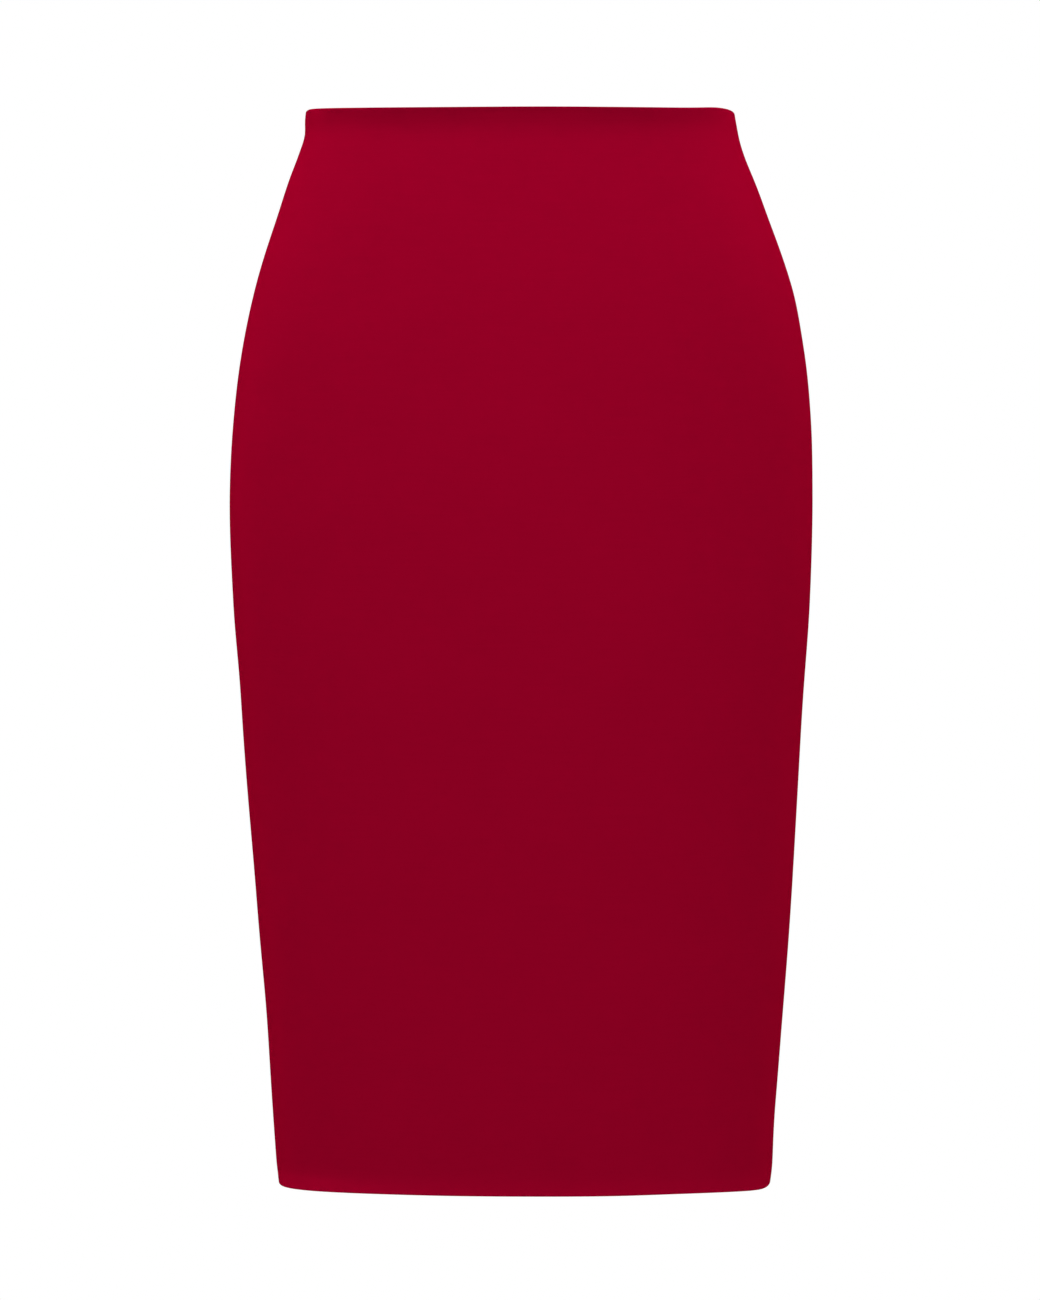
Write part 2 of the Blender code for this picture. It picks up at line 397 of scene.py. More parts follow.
def panel_columns(panel):
    """Two arrays, a value for each column: its share of the open cloth, and how far round the
    seam's roll it is, up to a quarter turn where the cloth lies open."""
    roll = np.linspace(0, math.pi / 2, ROLL_COLUMNS + 1)[:-1]
    share = np.concatenate(
        [np.zeros(len(roll)), np.linspace(0, 1, panel.columns + 1), np.ones(len(roll))]
    )
    opened = np.concatenate([roll, np.full(panel.columns + 1, math.pi / 2), roll[::-1]])
    return share, opened


def panel_surface(panel, path, ring):
    """The panel's points, their places on the flat cloth, and how much, from 0 to 1, each takes of
    the painted shade along the top edge and of the hem's paler band, partly pressing and partly a
    painted highlight, as arrays of ring places and columns.

    At a seam the cloth rolls inwards by a quarter turn. Its right side follows a quarter ellipse,
    ROLL_REACH by the roll's depth, its wrong side a small quarter circle, and a point between them
    lies at its share of the way from one to the other.
    """
    share, opened = panel_columns(panel)
    drop = path.drop[ring.row][:, None]
    down = path.down[ring.row][:, None]
    inwards = path.inwards[ring.row][:, None]
    under = (1 - ring.across)[:, None] / 2
    fold = path.fold[ring.row][:, None]
    roll_depth = FOLD_OUTSIDE + (ROLL_DEPTH_AT_FOLD - FOLD_OUTSIDE) * fold
    fine = np.linspace(panel.first_turn, panel.last_turn, ARC_STEPS + 1) * 2 * math.pi
    runs = runs_along(path.drop[ring.row], fine)
    width = runs[:, -1:]
    edge = (1 - under) * ROLL_REACH * (1 - np.cos(opened))
    edge = edge + under * (PINCHED + FOLD_INSIDE * (1 - np.cos(opened)))
    deep = (1 - under) * roll_depth * (1 - np.sin(opened))
    deep = deep + under * (FOLD_OUTSIDE - FOLD_INSIDE * np.sin(opened))
    along = edge + (width - 2 * edge) * share
    angle = np.array([np.interp(row, run, fine) for row, run in zip(along, runs)])
    outwards = THICK / 2 - deep
    lift = np.maximum(lift_past(panel.first, along), lift_past(panel.last, along - width))
    inset = path.inset[ring.row][:, None] + inwards * outwards
    inset = inset + lift * path.lifted[ring.row][:, None]
    below = drop + down * outwards + THICK / 2 * ring.beyond[:, None]
    point, out = on_skirt(angle, below, inset)
    flat_run = np.broadcast_to(path.run[ring.row][:, None], along.shape)
    flat = np.stack([along - width / 2, flat_run], axis=-1)
    return Surface(point, flat, painted_top_shade_at(out, below), pressing_and_highlight_at(angle, below))


def painted_top_shade_at(out, drop):
    """How much painted shade the cloth takes along the top edge: the way up to the top edge, times
    a rise as the cloth faces more squarely forwards or back."""
    squarely = ease((np.abs(out[..., 1]) - TOP_SHADE_FROM) / (1 - TOP_SHADE_FROM))
    return squarely * np.clip(1 - drop / TOP_SHADE_DROP, 0, 1)


def pressing_and_highlight_at(angle, drop):
    """How much of the hem's paler band each point takes, partly where the iron has pressed the hem
    and partly a painted highlight: a power of the way down to its fold, times a bell in the turns
    round the skirt that stands on an even share."""
    rise = np.clip(1 - (LENGTH - drop) / PALE_HEM_RISE, 0, 1)
    bell = np.exp(-(((angle / (2 * math.pi) - PALE_HEM_MOST) / PALE_HEM_MOST_REACH) ** 2))
    return rise**PALE_HEM_FADE * (PALE_HEM_ALL_ROUND + (1 - PALE_HEM_ALL_ROUND) * bell)


def ring_faces(places, columns):
    """Quads between each column of a closed ring of points and the next column."""
    at = np.arange(places)
    after = (at + 1) % places
    start = np.arange(columns - 1)[:, None] * places
    quads = [start + at, start + after, start + places + after, start + places + at]
    return np.stack(quads, axis=-1).reshape(-1, 4).tolist()


def cap_faces(path, ring, columns):
    """Faces that close the cloth's thickness along the panel's two seams."""
    rows = len(path.drop)
    rounding = (len(ring.row) - 2 * rows) // 2
    right = np.arange(rows)
    wrong = rows + rounding + right[::-1]
    strips = np.stack([right[:-1], right[1:], wrong[1:], wrong[:-1]], axis=-1).tolist()
    hem_end = [rows - 1 + step for step in range(rounding + 2)]
    casing_end = [int(wrong[0]) + step for step in range(rounding + 1)] + [0]
    last = (columns - 1) * len(ring.row)
    far = strips + [hem_end, casing_end]
    near = [face[::-1] for face in far]
    return near + [[last + corner for corner in face] for face in far]


def make_panel(panel, path, ring, materials):
    surface = panel_surface(panel, path, ring)
    places, columns = surface.point.shape[:2]
    points = np.swapaxes(surface.point, 0, 1).reshape(-1, 3)
    faces = ring_faces(places, columns) + cap_faces(path, ring, columns)
    piece = mesh_object(panel.name, points, faces)
    mesh = piece.data
    side = np.tile((ring.across < 1).astype(int), columns - 1)
    wrong_side = np.ones(len(faces), dtype=np.int32)
    wrong_side[: len(side)] = side
    mesh.polygons.foreach_set("material_index", wrong_side)
    for material in materials:
        mesh.materials.append(material)
    lay_flat(mesh, np.swapaxes(surface.flat, 0, 1).reshape(-1, 2))
    # Painted shade along the top edge, and the hem's paler band, partly pressing and partly a
    # painted highlight.
    give_points(mesh, "drawn_in", surface.drawn_in.T.ravel())
    give_points(mesh, "pressed", surface.pressed.T.ravel())
    return piece


# ---------------------------------------------------------------- meshes


def mesh_object(name, points, faces):
    mesh = bpy.data.meshes.new(name)
    mesh.from_pydata(points.tolist(), [], faces)
    mesh.update()
    mesh.shade_smooth()
    mesh.set_sharp_from_angle(angle=SHARP_EDGE)
    piece = bpy.data.objects.new(name, mesh)
    bpy.context.scene.collection.objects.link(piece)
    return piece


def lay_flat(mesh, flat):
    """Gives each corner of the mesh its point's place on the flat cloth, in metres."""
    corner = np.zeros(len(mesh.loops), dtype=np.int32)
    mesh.loops.foreach_get("vertex_index", corner)
    layer = mesh.uv_layers.new(name="cloth")
    layer.data.foreach_set("uv", flat[corner].astype(np.float32).ravel())


def give_points(mesh, name, values):
    layer = mesh.attributes.new(name, "FLOAT", "POINT")
    layer.data.foreach_set("value", values.astype(np.float32))


def joined(shapes):
    """Several shapes, each its points and faces, as one."""
    points, faces, count = [], [], 0
    for shape_points, shape_faces in shapes:
        points.append(shape_points)
        faces += [[corner + count for corner in face] for face in shape_faces]
        count += len(shape_points)
    return np.concatenate(points), faces


def thread_shape(path, out, radius=THREAD):
    """A round thread with closed ends, carried along a path. Each ring of points lies in the plane
    of the outward direction and of the direction square to it and to the path."""
    ahead = np.gradient(path, axis=0)
    ahead /= np.linalg.norm(ahead, axis=-1, keepdims=True)
    side = np.cross(ahead, out)
    side /= np.linalg.norm(side, axis=-1, keepdims=True)
    up = np.cross(side, ahead)
    turn = (np.arange(THREAD_SIDES) * 2 * math.pi / THREAD_SIDES)[None, :, None]
    around = np.cos(turn) * side[:, None, :] + np.sin(turn) * up[:, None, :]
    points = (path[:, None, :] + radius * around).reshape(-1, 3)
    faces = ring_faces(THREAD_SIDES, len(path))
    last = (len(path) - 1) * THREAD_SIDES
    faces.append(list(range(THREAD_SIDES))[::-1])
    faces.append([last + corner for corner in range(THREAD_SIDES)])
    return points, [face[::-1] for face in faces]


# ---------------------------------------------------------------- seam allowances


def near_seam(seam, drop, run):
    """The angles at these drops and runs from a seam, towards the side its allowances lie on."""
    fine = (seam.turn + seam.way * np.linspace(*NEAR_SEAM, ARC_STEPS + 1)) * 2 * math.pi
    rows = np.ravel(drop)
    runs = runs_along(rows, fine)
    start = np.argmin(np.abs(fine - seam.turn * 2 * math.pi))
    wanted = np.ravel(run)
    angle = [np.interp(run_now, row - row[start], fine) for run_now, row in zip(wanted, runs)]
    return np.array(angle).reshape(np.shape(drop))


def ripple(seam, drop, run):
    """How far the allowances stand off the body: slow sine waves down the seam, which grow towards
    the raw edge and die away at the turnings."""
    wave = sum(1 + np.sin(drop / radian + seam.turn * shift) for radian, shift in RIPPLE_WAVES)
    free = ease((drop - CASING) / RIPPLE_FREE) * ease((LENGTH - HEM - drop) / RIPPLE_FREE)
    return RIPPLE * wave * free * np.clip(run / ALLOWANCE, 0, 1) ** 2


def allowance_shape(seam, layer):
    """One cloth of a seam's allowances. Across, it is a ribbon that turns by a quarter circle from
    the panel's edge and then lies against the body, on the layers under it."""
    middle = LAYER / 2 + layer * LAYER
    centre = middle + (0.5 - layer) * THICK
    turning = np.linspace(0, math.pi / 2, ALLOWANCE_POINTS)
    open_run = np.linspace(centre, ALLOWANCE, ALLOWANCE_POINTS + 1)[1:]
    out_run = np.concatenate([-np.cos(turning), np.zeros(ALLOWANCE_POINTS)])
    out_deep = np.concatenate([np.sin(turning), np.ones(ALLOWANCE_POINTS)])
    middle_run = np.concatenate([centre - middle * np.cos(turning), open_run])
    middle_deep = FOLD_OUTSIDE + middle * out_deep
    rounding = np.linspace(0, math.pi, EDGE_ROWS + 1)[1:-1]
    half = THICK / 2
    run = np.concatenate(
        [
            middle_run + half * out_run,
            ALLOWANCE + half * np.sin(rounding),
            (middle_run - half * out_run)[::-1],
        ]
    )
    deep = np.concatenate(
        [
            middle_deep + half * out_deep,
            middle_deep[-1] + half * np.cos(rounding),
            (middle_deep - half * out_deep)[::-1],
        ]
    )
    rows = np.linspace(ALLOWANCE_END, LENGTH - ALLOWANCE_END, ALLOWANCE_ROWS)
    drop = np.broadcast_to(rows[:, None], (len(rows), len(run)))
    runs = np.broadcast_to(run[None, :], drop.shape)
    angle = near_seam(seam, drop, runs)
    point, _ = on_skirt(angle, drop, deep[None, :] + ripple(seam, drop, runs))
    faces = ring_faces(len(run), len(rows))
    half_count = len(middle_run)
    last = (len(rows) - 1) * len(run)
    top = np.arange(half_count - 1)
    under = len(run) - 1 - top
    ends = np.stack([top, under, under - 1, top + 1], axis=-1).tolist()
    ends.append([half_count - 1 + step for step in range(EDGE_ROWS + 1)][::-1])
    faces += [list(face) for face in ends]
    faces += [[last + corner for corner in reversed(face)] for face in ends]
    if seam.way < 0:
        faces = [face[::-1] for face in faces]
    flat = np.stack([runs, drop], axis=-1).reshape(-1, 2)
    return point.reshape(-1, 3), faces, flat


def make_allowances(seam, material):
    shapes = [allowance_shape(seam, layer) for layer in range(2)]
    points, faces = joined([shape[:2] for shape in shapes])
    piece = mesh_object(seam.name + "_allowances", points, faces)
    piece.data.materials.append(material)
    lay_flat(piece.data, np.concatenate([shape[2] for shape in shapes]))
    return piece


# ---------------------------------------------------------------- sewing


def overlock(length):
    """Two threads of an overlocked edge, each a run along the edge, a reach from the edge into the
    cloth and a height over it. The looper swings between the needle's line and the edge, where it
    dips over the raw edge. The needle's thread lies in long stitches that dip between them."""
    loops = int(length / STITCH)
    beat = np.linspace(0, loops, loops * LOOPER_POINTS + 1)
    swing = 0.5 - 0.5 * np.cos(2 * math.pi * beat)
    looper_run = (beat + LOOPER_LEAN * np.sin(4 * math.pi * beat)) / loops * length
    reach = LOOPER_WIDTH * (1 - swing) - LOOPER_PAST
    over_edge = ease(1 - reach / LOOPER_DIP)
    looper = (looper_run, reach, THREAD - (THICK / 2 + THREAD) * over_edge)
    beat = np.linspace(0, loops, loops * NEEDLE_POINTS + 1)
    dipping = np.cos(math.pi * beat) ** NEEDLE_SHARPNESS
    needle_height = NEEDLE_HEIGHT - NEEDLE_DIP * dipping
    needle = (beat / loops * length, np.full(len(beat), NEEDLE_IN), needle_height)
    return [looper, needle]


def seam_overlock(seam):
    """Overlock that binds both cloths of a seam's allowances, down their raw edge."""
    shapes = []
    start = CASING - ALLOWANCE_END
    for run, reach, height in overlock(LENGTH - HEM - CASING + 2 * ALLOWANCE_END):
        drop = start + run
        past_seam = ALLOWANCE + THICK / 2 - reach
        angle = near_seam(seam, drop, past_seam)
        deep = FOLD_OUTSIDE + 2 * LAYER - FOLD_INSIDE + height
        point, out = on_skirt(angle, drop, deep + ripple(seam, drop, past_seam))
        shapes.append(thread_shape(point, out))
    return joined(shapes)


def round_the_edge(drop):
    """The whole way round the skirt at this drop, the angles of fine steps along it, and a function
    of that way which gives the lift of a turning."""
    fine = np.linspace(0, 1, 4 * ARC_STEPS + 1) * 2 * math.pi
    runs = runs_along(np.array([drop]), fine)[0]
    whole = runs[-1]

    def lift(way):
        lifts = []
        for seam in SEAMS:
            at = np.interp(seam.turn * 2 * math.pi, fine, runs)
            lifts.append(lift_past(seam, (way - at + whole / 2) % whole - whole / 2))
        return np.maximum.reduce(lifts)

    return whole, fine, runs, lift


def edge_overlock(edge_drop, into):
    """Overlock round the skirt on a turning's raw edge. into is 1 where the cloth lies below."""
    whole, fine, runs, lift = round_the_edge(edge_drop)
    shapes = []
    for way, reach, height in overlock(whole):
        angle = np.interp(way, runs, fine)
        drop = edge_drop + into * (reach - THICK / 2)
        point, out = on_skirt(angle, drop, TURNING_INSIDE + height + lift(way))
        shapes.append(thread_shape(point, out))
    return joined(shapes)


def blind_stitches(edge_drop, into):
    """Thread that catches a turning to the body every few millimetres. It runs along the turning
    below its raw edge, and at each stitch it swings over the edge and down to the body's cloth."""
    whole, fine, runs, lift = round_the_edge(edge_drop)
    stitches = int(whole / BLIND_STITCH)
    beat = np.linspace(0, stitches, stitches * BLIND_POINTS + 1)
    swing = np.cos(math.pi * beat) ** BLIND_SHARPNESS
    way = (beat - BLIND_LEAN * np.sin(2 * math.pi * beat)) / stitches * whole
    reach = BLIND_RUN - BLIND_SWING * swing
    on_turning = TURNING_INSIDE + BLIND_HEIGHT + lift(way)
    on_body = BODY_INSIDE + BLIND_SUNK
    past_edge = ease((BLIND_CATCH - reach) / BLIND_FALL)
    inset = on_turning + (on_body - on_turning) * past_edge
    angle = np.interp(way, runs, fine)
    point, out = on_skirt(angle, edge_drop + into * (reach - THICK / 2), inset)
    return thread_shape(point, out, BLIND_THREAD)


def make_sewing(name, shape, material):
    points, faces = shape
    piece = mesh_object(name, points, faces)
    piece.data.materials.append(material)
    return piece


# ---------------------------------------------------------------- materials


CRIMSON = (0.302, 0.0003, 0.0188)
CRIMSON_INSIDE = (0.285, 0.0004, 0.0185)
CRIMSON_THREAD = (0.320, 0.0010, 0.0220)
RED_SHEEN = (1.0, 0.001, 0.045, 1.0)
KNIT_SHADES = (0.80, 1.20)  # shares of the colour at a tone of 0 and of 1
THREAD_SHADES = (0.75, 1.25)
KNIT_ROUGHNESS = (0.84, 0.96)  # between the fibre ends and on them
THREAD_ROUGHNESS = (0.55, 0.75)
WALE = 0.85 * MM
COURSE = 0.62 * MM
COURSE_WAVE = 0.3  # how much a leg's height goes up and down from course to course
FUZZ_HEIGHT = 0.55  # of the fibre ends over the loops, in heights of a loop
STREAKS = (26.0, 900.0, 1.0)  # repeats a metre, across the cloth and along it

# What makes a knit's tone: an even part, and what each of these adds to it.
EVEN_TONE = 0.385
# painted shade: the tone is deeper in the hollows between the loops
PAINTED_LOOP_SHADE = 0.26
PATCHES_TONE = 0.12
STREAKS_TONE = 0.25
# partly the iron's pressing and partly a painted highlight along the hem
PRESSING_AND_HIGHLIGHT_TONE = 1.45
# painted shade along the top edge, front and back
PAINTED_TOP_SHADE_TONE = -0.47
UNEVEN_PRESSING_AND_PAINTED_LIGHT = 0.5  # how much the last two differ from place to place


def add_node(tree, kind, inputs=(), **settings):
    """Adds a node with these settings and inputs."""
    node = tree.nodes.new(kind)
    for name, value in settings.items():
        setattr(node, name, value)
    feed(tree, node, dict(inputs))
    return node


def feed(tree, node, inputs):
    """Sets or links a node's inputs."""
    for key, value in inputs.items():
        if isinstance(value, bpy.types.NodeSocket):
            tree.links.new(value, node.inputs[key])
        else:
            node.inputs[key].default_value = value


def calc(tree, operation, *values):
    return add_node(tree, "ShaderNodeMath", enumerate(values), operation=operation).outputs[0]


def new_group(name, inputs, outputs):
    """An empty node group with these named inputs and outputs, and its two end nodes."""
    tree = bpy.data.node_groups.new(name, "ShaderNodeTree")
    for label, kind in inputs:
        tree.interface.new_socket(label, in_out="INPUT", socket_type=kind)
    for label in outputs:
        tree.interface.new_socket(label, in_out="OUTPUT", socket_type="NodeSocketFloat")
    return tree, tree.nodes.new("NodeGroupInput"), tree.nodes.new("NodeGroupOutput")


def knit_loops_group():
    """Height of a knit's loops, from 0 to 1.

    Each wale has two legs, each a sine hump across, that lean apart as they go up, like a row of
    Vs. Along the cloth a cosine wave, one for each course, lags towards the wale's edges.
    """
    inputs = [
        ("Cloth", "NodeSocketVector"),
        ("Wale", "NodeSocketFloat"),
        ("Course", "NodeSocketFloat"),
        ("Slant", "NodeSocketFloat"),
    ]
    tree, start, end = new_group("knit loops", inputs, ["Height"])
    split = add_node(tree, "ShaderNodeSeparateXYZ", {0: start.outputs["Cloth"]})
    wales = calc(tree, "DIVIDE", split.outputs[0], start.outputs["Wale"])
    courses = calc(tree, "DIVIDE", split.outputs[1], start.outputs["Course"])
    swing = calc(tree, "MULTIPLY_ADD", calc(tree, "FRACT", wales), 2.0, -1.0)
    from_middle = calc(tree, "ABSOLUTE", swing)
    leg = calc(tree, "SINE", calc(tree, "MULTIPLY", from_middle, math.pi))
    lagging = calc(tree, "MULTIPLY_ADD", from_middle, start.outputs["Slant"], courses)
    wave = calc(tree, "COSINE", calc(tree, "MULTIPLY", lagging, 2 * math.pi))
    loop = calc(tree, "MULTIPLY_ADD", wave, COURSE_WAVE, 1 - COURSE_WAVE)
    tree.links.new(calc(tree, "MULTIPLY", leg, loop), end.inputs["Height"])
    return tree


def dye_and_fuzz_group():
    """Unevenness of a dyed yarn: Tone lies round 0, in broad patches and in thin streaks along the
    courses. Fuzz is the height of the fibre ends, from 0 to 1. Scales are repeats a metre."""
    inputs = [("Place", "NodeSocketVector"), ("Cloth", "NodeSocketVector")]
    tree, start, end = new_group("dye and fuzz", inputs, ["Tone", "Fuzz"])
    patches = add_node(
        tree, "ShaderNodeTexNoise", {"Vector": start.outputs["Place"], "Scale": 21.0, "Detail": 3.0}
    )
    stretched = add_node(
        tree, "ShaderNodeVectorMath", {0: start.outputs["Cloth"], 1: STREAKS}, operation="MULTIPLY"
    )
    streaks = add_node(
        tree, "ShaderNodeTexNoise", {"Vector": stretched.outputs[0], "Scale": 1.0, "Detail": 2.0}
    )
    fibres = add_node(
        tree, "ShaderNodeTexNoise",
        {"Vector": start.outputs["Place"], "Scale": 1900.0, "Detail": 3.0, "Roughness": 0.7},
    )
    patchy = calc(tree, "MULTIPLY_ADD", patches.outputs["Fac"], PATCHES_TONE, -PATCHES_TONE / 2)
    streaky = calc(tree, "MULTIPLY_ADD", streaks.outputs["Fac"], STREAKS_TONE, -STREAKS_TONE / 2)
    tone = calc(tree, "ADD", patchy, streaky)
    tree.links.new(tone, end.inputs["Tone"])
    tree.links.new(fibres.outputs["Fac"], end.inputs["Fuzz"])
    return tree


def pressing_and_painted_light_group():
    """Painted light in the tone: paler along the hem, partly where the cloth is pressed and partly
    a painted highlight, and deeper in a painted shade along the top edge, more in some places than
    in others."""
    inputs = [
        ("Place", "NodeSocketVector"),
        ("Pressed", "NodeSocketFloat"),
        ("Drawn in", "NodeSocketFloat"),
    ]
    tree, start, end = new_group("pressing_and_painted_light", inputs, ["Tone"])
    patches = add_node(
        tree, "ShaderNodeTexNoise", {"Vector": start.outputs["Place"], "Scale": 90.0, "Detail": 3.0}
    )
    uneven = calc(tree, "MULTIPLY_ADD", patches.outputs["Fac"], UNEVEN_PRESSING_AND_PAINTED_LIGHT, 1 - UNEVEN_PRESSING_AND_PAINTED_LIGHT / 2)
    # The hem's paler band is partly pressing and partly a painted highlight, and the top edge's
    # deeper tone is a painted shade.
    paler = calc(tree, "MULTIPLY", start.outputs["Pressed"], PRESSING_AND_HIGHLIGHT_TONE)
    pressing_and_painted_light = calc(tree, "MULTIPLY_ADD", start.outputs["Drawn in"], PAINTED_TOP_SHADE_TONE, paler)
    tree.links.new(calc(tree, "MULTIPLY", pressing_and_painted_light, uneven), end.inputs["Tone"])
    return tree


def new_material(name):
    """An empty material, its node tree and its shader."""
    material = bpy.data.materials.new(name)
    material.use_nodes = True
    tree = material.node_tree
    return material, tree, tree.nodes["Principled BSDF"]


def dyed_with(tree, colour, shades, tone):
    """The colour, from the first share of it at a tone of 0 to the second at a tone of 1."""
    deep, pale = ((*(channel * share for channel in colour), 1.0) for share in shades)
    mix = add_node(
        tree, "ShaderNodeMix", {"Factor": tone, "A": deep, "B": pale}, data_type="RGBA"
    )
    return mix.outputs["Result"]


def fuzzy(tree, roughness, fuzz):
    """The roughness, from its first value to its second as the fibre ends stand higher."""
    low, high = roughness
    return calc(tree, "MULTIPLY_ADD", fuzz, high - low, low)


def knit_material(name, colour, groups, slant, loops_deep):
    """Matt knit. Its tone follows the dye, a painted shade in the hollows between the loops, and
    painted light along the edges: paler along the hem, partly where it is pressed and partly a
    painted highlight, and a painted shade along the top edge, over the waist elastic."""
    material, tree, shader = new_material(name)
    place = add_node(tree, "ShaderNodeTexCoord").outputs["Object"]
    cloth = add_node(tree, "ShaderNodeUVMap", uv_map="cloth").outputs["UV"]
    # A paler band along the hem, partly pressing and partly a painted highlight.
    pressed = add_node(tree, "ShaderNodeAttribute", attribute_name="pressed").outputs["Fac"]
    # A painted shade along the top edge.
    drawn_in = add_node(tree, "ShaderNodeAttribute", attribute_name="drawn_in").outputs["Fac"]
    loops = add_node(
        tree, "ShaderNodeGroup", {"Cloth": cloth, "Wale": WALE, "Course": COURSE, "Slant": slant},
        node_tree=groups["loops"],
    )
    dye = add_node(
        tree, "ShaderNodeGroup", {"Place": place, "Cloth": cloth}, node_tree=groups["dye"]
    )
    pressing_and_painted_light = add_node(
        tree, "ShaderNodeGroup", {"Place": place, "Pressed": pressed, "Drawn in": drawn_in},
        node_tree=groups["pressing_and_painted_light"],
    )
    loop_height, fuzz = loops.outputs["Height"], dye.outputs["Fuzz"]
    height = calc(tree, "MULTIPLY_ADD", fuzz, FUZZ_HEIGHT, loop_height)
    bump = add_node(
        tree, "ShaderNodeBump", {"Height": height, "Strength": 0.7, "Distance": loops_deep}
    )
    # Painted shade: a deeper tone in the hollows between the loops.
    tone = calc(tree, "MULTIPLY_ADD", loop_height, PAINTED_LOOP_SHADE, EVEN_TONE)
    tone = calc(tree, "ADD", tone, dye.outputs["Tone"])
    tone = calc(tree, "ADD", tone, pressing_and_painted_light.outputs["Tone"])
    tone.node.use_clamp = True
    looks = {
        "Base Color": dyed_with(tree, colour, KNIT_SHADES, tone),
        "Roughness": fuzzy(tree, KNIT_ROUGHNESS, fuzz),
        "Normal": bump.outputs["Normal"],
        "Specular IOR Level": 0.0,
        "Sheen Weight": 0.24,
        "Sheen Roughness": 0.45,
        "Sheen Tint": RED_SHEEN,
    }
    feed(tree, shader, looks)
    return material


def thread_material(name, colour, groups):
    """Spun polyester thread, a little smoother than the knit, with its own fibre ends."""
    material, tree, shader = new_material(name)
    place = add_node(tree, "ShaderNodeTexCoord").outputs["Object"]
    dye = add_node(
        tree, "ShaderNodeGroup", {"Place": place, "Cloth": place}, node_tree=groups["dye"]
    )
    fuzz = dye.outputs["Fuzz"]
    looks = {
        "Base Color": dyed_with(tree, colour, THREAD_SHADES, fuzz),
        "Roughness": fuzzy(tree, THREAD_ROUGHNESS, fuzz),
        "Specular IOR Level": 0.12,
        "Sheen Weight": 0.15,
        "Sheen Tint": RED_SHEEN,
    }
    feed(tree, shader, looks)
    return material


# ---------------------------------------------------------------- room, lights and camera


PIXEL = 0.5920 * MM  # in the plane of the side seams
IMAGE_HEIGHT = 1300  # in pixels
SENSOR = 36.0  # in millimetres
CAMERA_AWAY = 4.0
CAMERA_DROP = 238 * MM  # below the top edge
AIM_DROP = 319.8 * MM
FLOOR_BELOW = 0.49  # from the hem to the floor
FLOOR_PLAIN = 0.8  # the floor is plain this far out
FLOOR_REACH = 2.4  # and has faded away here, where it ends
PALE_FLOOR = (0.80, 0.80, 0.79, 1)

# Softboxes, with their places, aims and sizes in metres.
Lamp = namedtuple("Lamp", "name place aim width height watts")
LAMPS = [
    Lamp("front_softbox", (0.0, -1.5, 0.8), (0, 0, -0.2), 1.8, 0.8, 28.7),
    Lamp("front_fill", (0.0, -3.6, 0.3), (0, 0, -0.3), 3.0, 2.4, 4.5),
    Lamp("right_softbox", (-2.6, -0.6, 0.4), (0, 0, -0.3), 1.6, 2.4, 16.0),
    Lamp("left_softbox", (2.6, -0.6, 0.4), (0, 0, -0.3), 1.6, 2.4, 12.2),
    Lamp("right_hip", (-0.8, 0.4, 0.8), (0, 0, -0.1), 0.7, 0.7, 9.4),
    Lamp("left_hip", (0.8, 0.4, 0.8), (0, 0, -0.1), 0.7, 0.7, 9.5),
    Lamp("back_softbox", (0.0, 2.2, 1.0), (0, 0, -0.2), 1.8, 1.0, 38.5),
]
ROOM_ABOVE = 0.08  # strength of the room's light straight above
ROOM_BELOW = 0.03


def face(holder, place, aim):
    """Puts a lamp or the camera at a place and turns it to what it aims at."""
    holder.location = place
    holder.rotation_euler = (aim - place).to_track_quat("-Z", "Y").to_euler()


def make_lamp(lamp):
    light = bpy.data.lights.new(lamp.name, "AREA")
    light.shape = "RECTANGLE"
    light.size = lamp.width
    light.size_y = lamp.height
    light.energy = lamp.watts
    holder = bpy.data.objects.new(lamp.name, light)
    bpy.context.scene.collection.objects.link(holder)
    face(holder, Vector(lamp.place), Vector(lamp.aim))
    holder.visible_camera = False


def make_room():
    """A white room. The camera sees it pure white, and its light on things is stronger from above
    than from below."""
    world = bpy.data.worlds.new("white_room")
    bpy.context.scene.world = world
    world.use_nodes = True
    tree = world.node_tree
    tree.nodes.clear()
    direction = add_node(tree, "ShaderNodeTexCoord").outputs["Generated"]
    height = add_node(tree, "ShaderNodeSeparateXYZ", {0: direction}).outputs[2]
    strength = add_node(
        tree, "ShaderNodeMapRange",
        {"Value": height, "From Min": -1.0, "To Min": ROOM_BELOW, "To Max": ROOM_ABOVE},
    ).outputs["Result"]
    glow = add_node(tree, "ShaderNodeBackground", {"Color": (1, 1, 1, 1), "Strength": strength})
    white = add_node(tree, "ShaderNodeBackground", {"Color": (1, 1, 1, 1), "Strength": 1.0})
    seen = add_node(tree, "ShaderNodeLightPath").outputs["Is Camera Ray"]
    mixed = add_node(
        tree, "ShaderNodeMixShader", {0: seen, 1: glow.outputs[0], 2: white.outputs[0]}
    )
    output = tree.nodes.new("ShaderNodeOutputWorld")
    tree.links.new(mixed.outputs[0], output.inputs["Surface"])


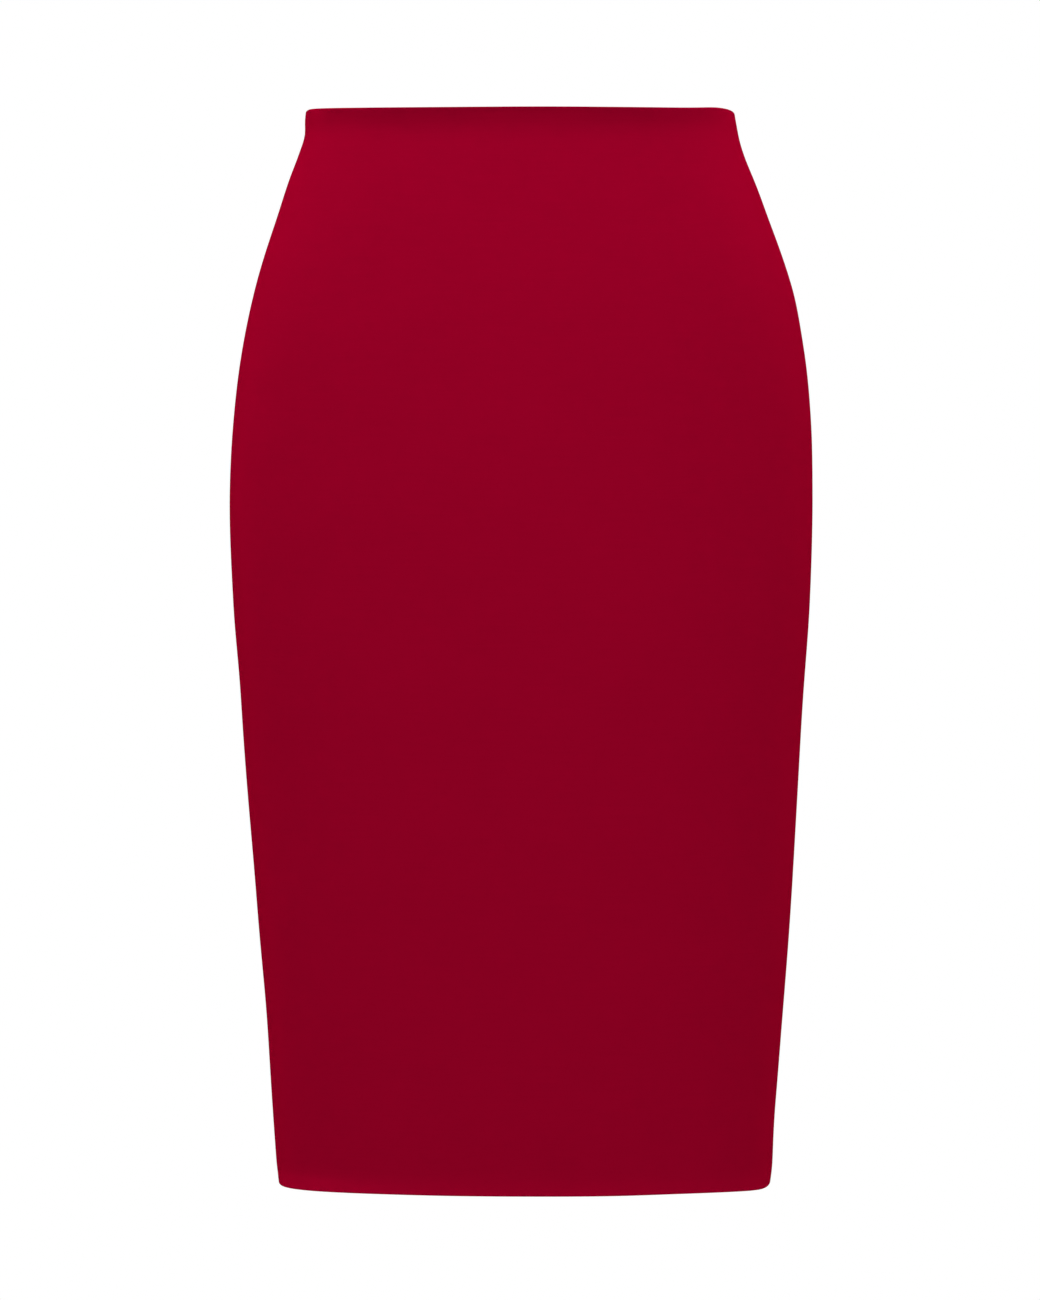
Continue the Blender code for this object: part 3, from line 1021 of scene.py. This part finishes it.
def make_floor():
    """A pale floor that fades in a wide circle into the white that the camera sees of the room, and
    isn't seen from below."""
    level = TOP - LENGTH - FLOOR_BELOW
    corners = [(-1, -1), (1, -1), (1, 1), (-1, 1)]
    points = np.array([(x * FLOOR_REACH, y * FLOOR_REACH, level) for x, y in corners])
    floor = mesh_object("floor", points, [[0, 1, 2, 3]])
    material, tree, shader = new_material("pale_floor")
    place = add_node(tree, "ShaderNodeTexCoord").outputs["Object"]
    flat = add_node(tree, "ShaderNodeVectorMath", {0: place, 1: (1, 1, 0)}, operation="MULTIPLY")
    away = add_node(tree, "ShaderNodeVectorMath", {0: flat.outputs[0]}, operation="LENGTH")
    faded = add_node(
        tree, "ShaderNodeMapRange",
        {"Value": away.outputs["Value"], "From Min": FLOOR_PLAIN, "From Max": FLOOR_REACH},
        interpolation_type="SMOOTHSTEP",
    ).outputs["Result"]
    painted = add_node(
        tree, "ShaderNodeMix", {"Factor": faded, "A": PALE_FLOOR, "B": (0, 0, 0, 1)},
        data_type="RGBA",
    )
    seen = add_node(tree, "ShaderNodeLightPath").outputs["Is Camera Ray"]
    under = add_node(tree, "ShaderNodeNewGeometry").outputs["Backfacing"]
    looks = {
        "Base Color": painted.outputs["Result"],
        "Roughness": 0.7,
        "Specular IOR Level": 0.0,
        "Emission Color": calc(tree, "MULTIPLY", faded, seen),
        "Emission Strength": 1.0,
        "Alpha": calc(tree, "SUBTRACT", 1.0, under),
    }
    feed(tree, shader, looks)
    floor.data.materials.append(material)


def make_camera():
    camera = bpy.data.cameras.new("camera")
    camera.sensor_width = SENSOR
    camera.lens = CAMERA_AWAY / (PIXEL * IMAGE_HEIGHT) * SENSOR
    holder = bpy.data.objects.new("camera", camera)
    bpy.context.scene.collection.objects.link(holder)
    place = Vector((0, -CAMERA_AWAY, TOP - CAMERA_DROP))
    face(holder, place, Vector((0, 0, TOP - AIM_DROP)))
    bpy.context.scene.camera = holder


# ---------------------------------------------------------------- putting it together


def make_cloth(knit_right, knit_wrong):
    path = cloth_path()
    ring = cloth_ring(path)
    for panel in PANELS:
        piece = make_panel(panel, path, ring, [knit_right, knit_wrong])
        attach(piece, "root")
        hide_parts(panel.node)


def make_inside(knit_wrong, thread):
    """What is sewn inside, by the panel that it goes with: the seams' allowances and overlock, and
    the turnings' overlock and blind stitches, which go all round and are put with the front."""
    hem_edge = LENGTH - HEM
    inside = {panel.name: [] for panel in PANELS}
    for seam in SEAMS:
        inside[seam.pressed_on] += [
            make_allowances(seam, knit_wrong),
            make_sewing(seam.name + "_overlock", seam_overlock(seam), thread),
        ]
    inside["front_cloth"] += [
        make_sewing("casing_overlock", edge_overlock(CASING, -1), thread),
        make_sewing("casing_stitches", blind_stitches(CASING, -1), thread),
        make_sewing("hem_overlock", edge_overlock(hem_edge, 1), thread),
        make_sewing("hem_stitches", blind_stitches(hem_edge, 1), thread),
    ]
    for pieces in inside.values():
        for piece in pieces:
            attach(piece, "root")
    return inside


def main():
    groups = {
        "loops": knit_loops_group(),
        "dye": dye_and_fuzz_group(),
        "pressing_and_painted_light": pressing_and_painted_light_group(),
    }
    knit_right = knit_material("knit_right_side", CRIMSON, groups, 0.9, 0.14 * MM)
    knit_wrong = knit_material("knit_wrong_side", CRIMSON_INSIDE, groups, 0.15, 0.16 * MM)
    thread = thread_material("matching_thread", CRIMSON_THREAD, groups)
    inside = make_inside(knit_wrong, thread)
    make_cloth(knit_right, knit_wrong)
    make_room()
    make_floor()
    for lamp in LAMPS:
        make_lamp(lamp)
    make_camera()
    bpy.context.scene.view_settings.view_transform = "Standard"


main()
